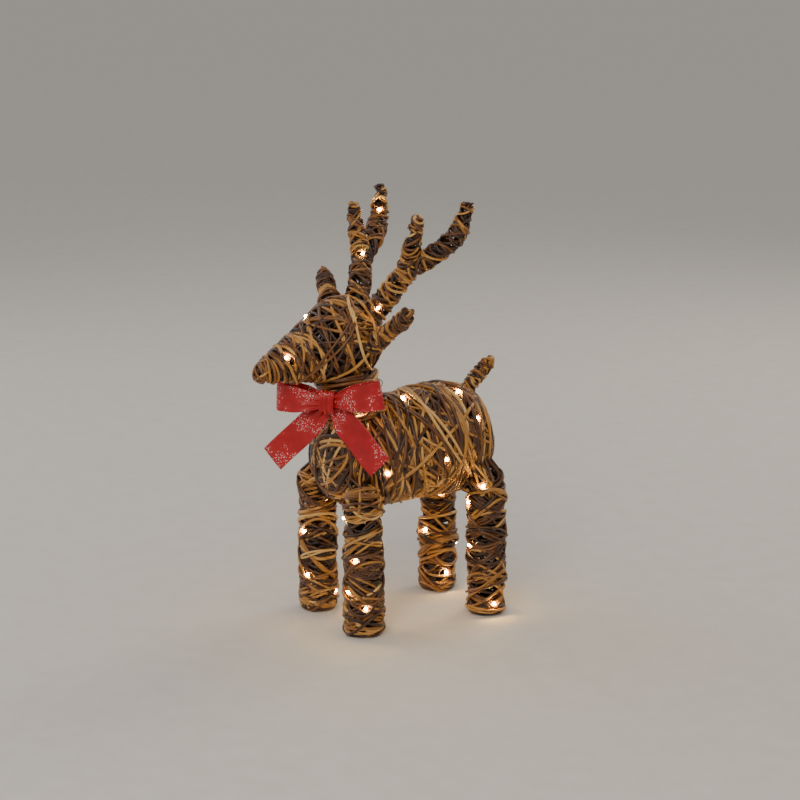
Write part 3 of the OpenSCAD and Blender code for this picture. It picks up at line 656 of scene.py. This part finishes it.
def wind_branch(path, radii, count, lamp_list):
    path = smooth_path(path)
    radii = smooth_path(radii)[:, 0]
    length = np.concatenate([[0], np.cumsum(np.linalg.norm(np.diff(path, axis=0), axis=1))])
    ahead = np.gradient(path, axis=0)
    ahead /= np.linalg.norm(ahead, axis=1)[:, None]
    side = [across(ahead[0])[0]]
    for t in ahead[1:]:
        side.append(unit(side[-1] - (side[-1] @ t) * t))
    side = np.array(side)

    def at(values, s):
        return np.stack([np.interp(s, length, values[:, k]) for k in range(3)], axis=1)

    made = []
    for k in range(count):
        layer = int(rng.choice([0, 1, 2], p=[0.45, 0.35, 0.2]))
        size = 1.85 * rng.uniform(0.8, 1.2)
        steps = 34
        turn = rng.uniform(0, 6.3) + np.linspace(0, rng.uniform(5.8, 9.5), steps)
        middle = length[-1] * (k + rng.uniform(0.1, 0.9)) / count
        lean = math.tan(math.radians(rng.uniform(12, 50)))
        radius_here = np.interp(middle, length, radii)
        s = middle + radius_here * lean * np.cos(turn - rng.uniform(0, 6.3))
        s = np.clip(s + rng.uniform(-0.8, 0.8) * (turn - turn.mean()), 0, length[-1] + 2.0 * np.sin(turn))
        a, t = at(side, s), at(ahead, s)
        t /= np.linalg.norm(t, axis=1)[:, None]
        a = a - (a * t).sum(axis=1)[:, None] * t
        a /= np.linalg.norm(a, axis=1)[:, None]
        out = np.cos(turn)[:, None] * a + np.sin(turn)[:, None] * np.cross(t, a)
        run = np.linspace(0, 1, steps)
        ends = np.minimum(run, 1 - run) * radius_here * (turn[-1] - turn[0])
        sink = size + (0.0, 2.0, 4.2)[layer] + 0.9 * np.sin(turn * 3.4 + k) + 4 * np.exp(-(ends / 6) ** 2)
        depth = np.interp(s, length, radii) - sink
        points = part_for_lamps(at(path, s) + depth[:, None] * out, lamp_list, size)
        made.append((points, out, size * np.clip(0.6 + ends / 18, 0, 1), tone_and_painted_shade(layer)))
    # Loops over the tip, which hide the end of the wire.
    tip, tip_axis = path[-1], ahead[-1]
    tip_shape = taper(tip - 9 * tip_axis, tip - 7 * tip_axis, radii[-1], radii[-1] - 0.5)
    made += caps(tip_shape, tip - 8 * tip_axis, tip_axis, 8, lamp_list, radius=1.4, reach=30, scatter=1.0)
    return made


for side_name, flip in (("left", 1), ("right", -1)):
    mirror = np.array([flip, 1, 1])
    antler_node = side_name + "_antler_wicker"
    low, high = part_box(antler_node)
    lamp_list = near(all_lamps, low, high, 6)
    antler_vines = wind_branch(OUTER * mirror + SHIFT, OUTER_R, 84, lamp_list)
    antler_vines += wind_branch(INNER * mirror + SHIFT, INNER_R, 40, lamp_list)
    place_winding(side_name + "_antler_winding", antler_vines, antler_node)

# %% [markdown]
# ## Small moulded and metal finishes
#
# Most of the remaining parts have the right shape already and only need their finish. They share one
# recipe: a base colour broken up by fine noise, a roughness that varies with it, and a bump at the
# size of the real surface's grain. What changes is the grain's size and whether it is metal.

# %% A recipe for moulded, coated and plated parts
def grained(name, dark, light, grain_mm, rough, bump_mm, metal=0.0, coat=0.0, glow=None):
    material, tree = new_finish(name)
    place = add(tree, "ShaderNodeTexCoord")
    noise = add(tree, "ShaderNodeTexNoise",
                {"Vector": place.outputs["Object"], "Scale": 1 / (grain_mm * MM), "Detail": 3.0,
                 "Roughness": 0.6})
    colour = ramp(tree, noise.outputs["Fac"], [(0.3, dark), (0.7, light)])
    gloss = add(tree, "ShaderNodeMapRange",
                {"Value": noise.outputs["Fac"], "To Min": rough[0], "To Max": rough[1]})
    bump = add(tree, "ShaderNodeBump",
               {"Height": noise.outputs["Fac"], "Strength": 0.5, "Distance": bump_mm * MM})
    inputs = {"Base Color": colour.outputs["Color"], "Roughness": gloss.outputs["Result"],
              "Normal": bump.outputs["Normal"], "Metallic": metal, "Coat Weight": coat}
    if glow:
        inputs["Emission Color"] = linear(glow[0])
        inputs["Emission Strength"] = glow[1]
    close_finish(tree, add(tree, "ShaderNodeBsdfPrincipled", inputs))
    return material


# Powder coat melts into a skin with an orange-peel ripple about 1.5 mm apart.
powder_coat = grained("powder_coated_steel_wire", "#2c1a0f", "#4a2d1a", 1.5, (0.35, 0.55), 0.05)
# Annealed wire has a grey scale that rubs off along its length.
tie_wire = grained("annealed_tie_wire", "#5d554c", "#8d857a", 0.8, (0.35, 0.6), 0.03, metal=1.0)
# Extruded PVC is satin, with faint draw marks.
pvc_sheath = grained("extruded_pvc_sheath", "#3a2110", "#54331b", 2.0, (0.4, 0.55), 0.02)
pvc_holder = grained("moulded_pvc_lamp_holder", "#3a2110", "#5c3a20", 1.2, (0.42, 0.6), 0.03)
# ABS moulded against a spark-eroded tool has a fine even pit, here 0.7 mm so that it shows.
spark_abs = grained("spark_textured_abs", "#2a211c", "#382d26", 0.7, (0.5, 0.7), 0.05)
# Zinc plate shows small crystals and a bright grain.
zinc_steel = grained("zinc_plated_steel", "#8f9296", "#c2c5c8", 1.0, (0.22, 0.42), 0.02, metal=1.0)
nickel = grained("nickel_plated_spring_steel", "#a9a49a", "#d2cec4", 1.0, (0.12, 0.3), 0.01, metal=1.0)
soft_rubber = grained("moulded_nitrile_rubber", "#141312", "#242221", 0.9, (0.6, 0.85), 0.04)
cell_sleeve = grained("printed_shrink_sleeve", "#a8741c", "#d09a34", 6.0, (0.16, 0.3), 0.01, coat=0.4)
solder_mask = grained("solder_mask_on_glass_epoxy", "#0c3d1c", "#15602e", 1.6, (0.2, 0.4), 0.04, coat=0.3)
nylon_switch = grained("moulded_nylon_switch", "#161616", "#2a2a2a", 0.6, (0.4, 0.6), 0.02)
red_button = grained("moulded_abs_button", "#7a1210", "#9c1c18", 1.4, (0.18, 0.34), 0.02, coat=0.2)
# The lamp's epoxy dome is lit from inside, a pale warm white broken up by faint noise between warmer and
# whiter.
lit_epoxy = grained("lit_epoxy_dome", "#ffd28a", "#fff0c8", 1.5, (0.05, 0.15), 0.01, glow=("#ffc862", 260.0))

FINISHES = {
    powder_coat: ["body_frame", "neck_frame", "head_frame", "tail_frame", "left_ear_frame",
                  "right_ear_frame", "left_antler_frame", "right_antler_frame",
                  "front_left_leg_frame", "front_right_leg_frame", "rear_left_leg_frame",
                  "rear_right_leg_frame", "case_hanger"],
    tie_wire: ["binding_wires", "bow_tie_wire"],
    pvc_sheath: ["body_lamp_lead", "head_lamp_lead", "antler_lamp_leads", "front_leg_lamp_leads",
                 "rear_leg_lamp_leads"],
    spark_abs: ["battery_case", "battery_cover"],
    zinc_steel: ["cover_hinge_pin", "cover_screw", "hanger_screws"],
    nickel: ["contact_springs", "contact_plates"],
    soft_rubber: ["cover_gasket", "lead_grommet"],
    cell_sleeve: ["battery_cells"],
    solder_mask: ["timer_board"],
    nylon_switch: ["timer_switch"],
    red_button: ["timer_button"],
}
for material, names in FINISHES.items():
    for name in names:
        for holder in nodes[name].material_slots:
            holder.material = material
print("finished", sum(len(names) for names in FINISHES.values()), "CAD nodes")

# %% [markdown]
# ## The lamps
#
# Each is a bullet-shaped LED in a ribbed socket. Its outline is turned round its own axis, as on a
# lathe. The lens stands a little further out than the CAD's, up among the vines that part for it.

# %% Turning lamp parts
LAMP_LIFT = 3.0
HOLDER_OUTLINE = [(0.0, -2.75), (1.1, -2.75), (1.5, -2.5), (2.0, -2.2), (2.0, -1.4), (2.35, -1.2),
                  (2.35, -0.7), (2.0, -0.5), (2.0, 0.1), (2.35, 0.3), (2.35, 0.8), (2.0, 1.0),
                  (2.0, 1.5), (2.5, 1.8),
                  (2.5, 2.6), (2.2, 2.75), (0.0, 2.75)]
LENS_OUTLINE = [(0.0, 2.8), (2.2, 2.8), (2.3, 3.0), (2.3, 3.3), (1.95, 3.5), (1.95, 5.2), (1.85, 5.9),
                (1.6, 6.5), (1.15, 6.95), (0.6, 7.2), (0.0, 7.25)]


def turned_mesh(name, outline, lamp_list, sides=14):
    verts, faces = [], []
    for middle, facing in lamp_list:
        first, second = across(facing)
        base = len(verts)
        for r, h in outline:
            for k in range(sides):
                angle = 2 * math.pi * k / sides
                spoke = math.cos(angle) * first + math.sin(angle) * second
                point = middle + (h + LAMP_LIFT) * facing + max(r, 0.02) * spoke
                verts.append(tuple(point * MM))
        for i in range(len(outline) - 1):
            for k in range(sides):
                n = (k + 1) % sides
                faces.append([base + i * sides + k, base + i * sides + n,
                              base + (i + 1) * sides + n, base + (i + 1) * sides + k])
        faces.append([base + k for k in range(sides - 1, -1, -1)])
        faces.append([base + (len(outline) - 1) * sides + k for k in range(sides)])
    mesh = bpy.data.meshes.new(name)
    mesh.from_pydata(verts, [], faces)
    mesh.polygons.foreach_set("use_smooth", [True] * len(mesh.polygons))
    return mesh


for section in LAMP_SETS:
    place_piece(section + "_sockets", turned_mesh(section + "_sockets", HOLDER_OUTLINE, lamps[section]),
                pvc_holder, "lamp_holder", section + "_lamp_holders")
    place_piece(section + "_bulbs", turned_mesh(section + "_bulbs", LENS_OUTLINE, lamps[section]),
                lit_epoxy, "lamp_lens", section + "_lamp_lenses")

# %% [markdown]
# ## The ribbon
#
# Satin ribbon has a tight weave that shines along one direction, and this one carries patches of
# small white frost specks. The cloth stays red between them. The specks come from scattered cells
# with a small bright middle, kept only where a slow noise is high.

# %% Frosted satin ribbon
def frosted_satin():
    material, tree = new_finish("frosted_satin_ribbon")
    place = add(tree, "ShaderNodeTexCoord")
    # Specks lie about 2.3 mm apart and are just under 1 mm across.
    cells = add(tree, "ShaderNodeTexVoronoi", {"Vector": place.outputs["Object"], "Scale": 1 / (2.3 * MM)})
    speck = add(tree, "ShaderNodeMapRange",
                {"Value": cells.outputs["Distance"], "From Min": 0.32, "From Max": 0.22,
                 "To Min": 0.0, "To Max": 1.0})
    # The frosted patches are about 25 mm across.
    slow = add(tree, "ShaderNodeTexNoise",
               {"Vector": place.outputs["Object"], "Scale": 1 / (25 * MM), "Detail": 2.0})
    patch = add(tree, "ShaderNodeMapRange",
                {"Value": slow.outputs["Fac"], "From Min": 0.50, "From Max": 0.55,
                 "To Min": 0.0, "To Max": 1.0})
    frost = add(tree, "ShaderNodeMath", {0: speck.outputs["Result"], 1: patch.outputs["Result"]},
                operation="MULTIPLY")
    red = ramp(tree, slow.outputs["Fac"], [(0.3, "#a30d17"), (0.7, "#c81c26")])
    cloth = add(tree, "ShaderNodeMix", {"Factor": frost.outputs["Value"]}, data_type="RGBA")
    cloth.inputs[7].default_value = linear("#f2e9e6")
    tree.links.new(red.outputs["Color"], cloth.inputs[6])
    # The weave is drawn at 0.8 mm, coarser than real satin, so that it shows.
    weave = add(tree, "ShaderNodeTexWave",
                {"Vector": place.outputs["Object"], "Scale": 1 / (0.8 * MM) / 6.28, "Distortion": 1.5,
                 "Detail": 2.0}, bands_direction="DIAGONAL")
    bump = add(tree, "ShaderNodeBump",
               {"Height": weave.outputs["Fac"], "Strength": 0.25, "Distance": 0.0002})
    shader = add(tree, "ShaderNodeBsdfPrincipled",
                 {"Base Color": cloth.outputs[2], "Roughness": 0.42, "Normal": bump.outputs["Normal"],
                  "Sheen Weight": 0.08, "Sheen Roughness": 0.4, "Sheen Tint": linear("#d03038"),
                  "Anisotropic": 0.4})
    close_finish(tree, shader)
    return material


satin = frosted_satin()

# %% [markdown]
# ## Tying the bow
#
# Two loops, two tails and a knot are each a band swept along a path. A band is 38 mm wide where it
# is free, and pleats to under half of that where the knot grips it. The bow is drawn in its own
# directions: along it, up, and out of its front. The right tail leans out, clear of the shoulder.

# %% Sweeping ribbon bands
BOW = np.array([29.6, -129.4, 319.0]) + SHIFT
BOW_TURN = math.radians(35)
BOW_ALONG = np.array([math.cos(BOW_TURN), math.sin(BOW_TURN), 0])
BOW_UP = np.array([0, 0, 1.0])
BOW_OUT = np.array([math.sin(BOW_TURN), -math.cos(BOW_TURN), 0])


def band(name, path, wide, widths, pleats, node, edge_curl=0.0):
    """A ribbon swept along path, in the bow's directions. Widths and pleats have a value per point."""
    path = smooth_path(path, 7)
    wide = smooth_path(wide, 7)
    widths = smooth_path(widths, 7)[:, 0]
    pleats = smooth_path(pleats, 7)[:, 0]
    ahead = np.gradient(path, axis=0)
    ahead /= np.linalg.norm(ahead, axis=1)[:, None]
    wide = wide - (wide * ahead).sum(axis=1)[:, None] * ahead
    wide /= np.linalg.norm(wide, axis=1)[:, None]
    face = np.cross(ahead, wide)
    strips = 22
    v = np.linspace(-0.5, 0.5, strips + 1)
    fold = pleats[:, None] * np.cos(v * 6 * math.pi)[None] + edge_curl * (2 * v[None]) ** 2
    local = (path[:, None] + (widths[:, None] * v[None])[..., None] * wide[:, None]
             + fold[..., None] * face[:, None])
    world = BOW + local[..., :1] * BOW_ALONG + local[..., 1:2] * BOW_UP + local[..., 2:] * BOW_OUT
    rows = len(path)
    index = np.arange(rows * (strips + 1)).reshape(rows, strips + 1)
    here, after = index[:-1], index[1:]
    faces = np.stack([here[:, :-1], here[:, 1:], after[:, 1:], after[:, :-1]], axis=-1).reshape(-1, 4)
    mesh = bpy.data.meshes.new(name)
    mesh.from_pydata((world.reshape(-1, 3) * MM).tolist(), [], faces.tolist())
    mesh.polygons.foreach_set("use_smooth", [True] * len(mesh.polygons))
    piece = place_piece(name, mesh, satin, "ribbon", node)
    thick = piece.modifiers.new("thickness", "SOLIDIFY")
    thick.thickness = 0.5 * MM
    thick.offset = 0.0
    print(name, "runs", round(float(np.linalg.norm(np.diff(path, axis=0), axis=1).sum())), "mm")
    return piece


def bow_loop(name, length, lift, flip, node):
    turn = math.radians(lift)
    shape = [(5, 2), (20, 6), (0.55 * length, 11), (0.85 * length, 10), (0.97 * length, 5), (length, -1),
             (0.95 * length, -7), (0.7 * length, -10.5), (0.4 * length, -8), (18, -5), (5, -2)]
    path = [(flip * x * math.cos(turn), x * math.sin(turn), z) for x, z in shape]
    wide = [(-flip * math.sin(turn), math.cos(turn), 0)] * len(shape)
    widths = [[15], [24], [35], [38], [38], [38], [38], [38], [34], [24], [15]]
    pleats = [[1.5], [1.3], [0.5], [0.1], [0], [0], [0], [0.1], [0.5], [1.3], [1.5]]
    return band(name, path, wide, widths, pleats, node)


def bow_tail(name, length, fall, flip, depth, lean, node):
    turn = math.radians(-fall)
    out, down = math.sin(math.radians(lean)), math.cos(math.radians(lean))
    shape = [(4, 0), (16, 1), (0.3 * length, 3), (0.55 * length, 0.5), (0.8 * length, 2.5), (length, 0)]
    path = [(flip * x * math.cos(turn), x * math.sin(turn) * down + z * out - 4,
             depth - x * math.sin(turn) * out + z * down) for x, z in shape]
    wide = [(-flip * math.sin(turn), math.cos(turn) * down, -math.cos(turn) * out)] * len(shape)
    widths = [[15], [24], [36], [38], [38], [38]]
    pleats = [[1.4], [1.2], [0.5], [0.1], [0], [0]]
    return band(name, path, wide, widths, pleats, node, edge_curl=1.0)


# The knot comes first, because the other bands rest on it.
knot_turn = np.linspace(0, 2 * math.pi, 14)[:-1]
knot_path = [(0, 15 * math.sin(t), 6.8 * math.cos(t)) for t in knot_turn]
band("bow_knot_fold", knot_path + knot_path[:1], [(1, 0, 0)] * 14, [[22]] * 14, [[1.5]] * 14,
     "bow_knot")
bow_loop("bow_left_loop_fold", 78, 2, -1, "bow_left_loop")
bow_loop("bow_right_loop_fold", 81, 12, 1, "bow_right_loop")
bow_tail("bow_left_tail_fold", 126, 43, -1, -9.0, 0, "bow_left_tail")
bow_tail("bow_right_tail_fold", 111, 44, 1, -7.5, 9, "bow_right_tail")

# %% [markdown]
# ## Studio
#
# A pale floor and large soft lamps show the vines' roundness without hard shadows. The light is kept
# modest, so that the reindeer's own lamps still glow on the vines next to them.

# %% Floor and light
floor_mesh = bpy.data.meshes.new("studio_floor")
ring = [(60 * math.cos(2 * math.pi * k / 64), 60 * math.sin(2 * math.pi * k / 64), 0) for k in range(64)]
floor_mesh.from_pydata(ring, [], [list(range(64))])
studio_floor = bpy.data.objects.new("studio_floor", floor_mesh)
bpy.context.scene.collection.objects.link(studio_floor)
floor_mesh.materials.append(grained("matt_painted_floor", "#dcd8d1", "#e2ded8", 40, (0.7, 0.85), 0.02))


def soft_lamp(name, place, size, watts, code):
    data = bpy.data.lights.new(name, "AREA")
    data.size = size
    data.energy = watts
    data.color = linear(code)[:3]
    lamp = bpy.data.objects.new(name, data)
    lamp.location = place
    lamp.rotation_euler = (Vector(place) - Vector((0, 0, 0.28))).to_track_quat("Z", "Y").to_euler()
    bpy.context.scene.collection.objects.link(lamp)


soft_lamp("key_light", (2.0, -1.8, 2.2), 1.4, 38, "#fff4e6")
soft_lamp("fill_light", (-2.2, -1.2, 1.4), 1.8, 14, "#f2f4ff")
soft_lamp("rim_light", (-0.8, 2.4, 2.0), 1.4, 22, "#fff1de")
world = bpy.data.worlds.new("studio_world")
world.use_nodes = True
world.node_tree.nodes["Background"].inputs["Color"].default_value = linear("#e6e3de")
world.node_tree.nodes["Background"].inputs["Strength"].default_value = 0.55
bpy.context.scene.world = world
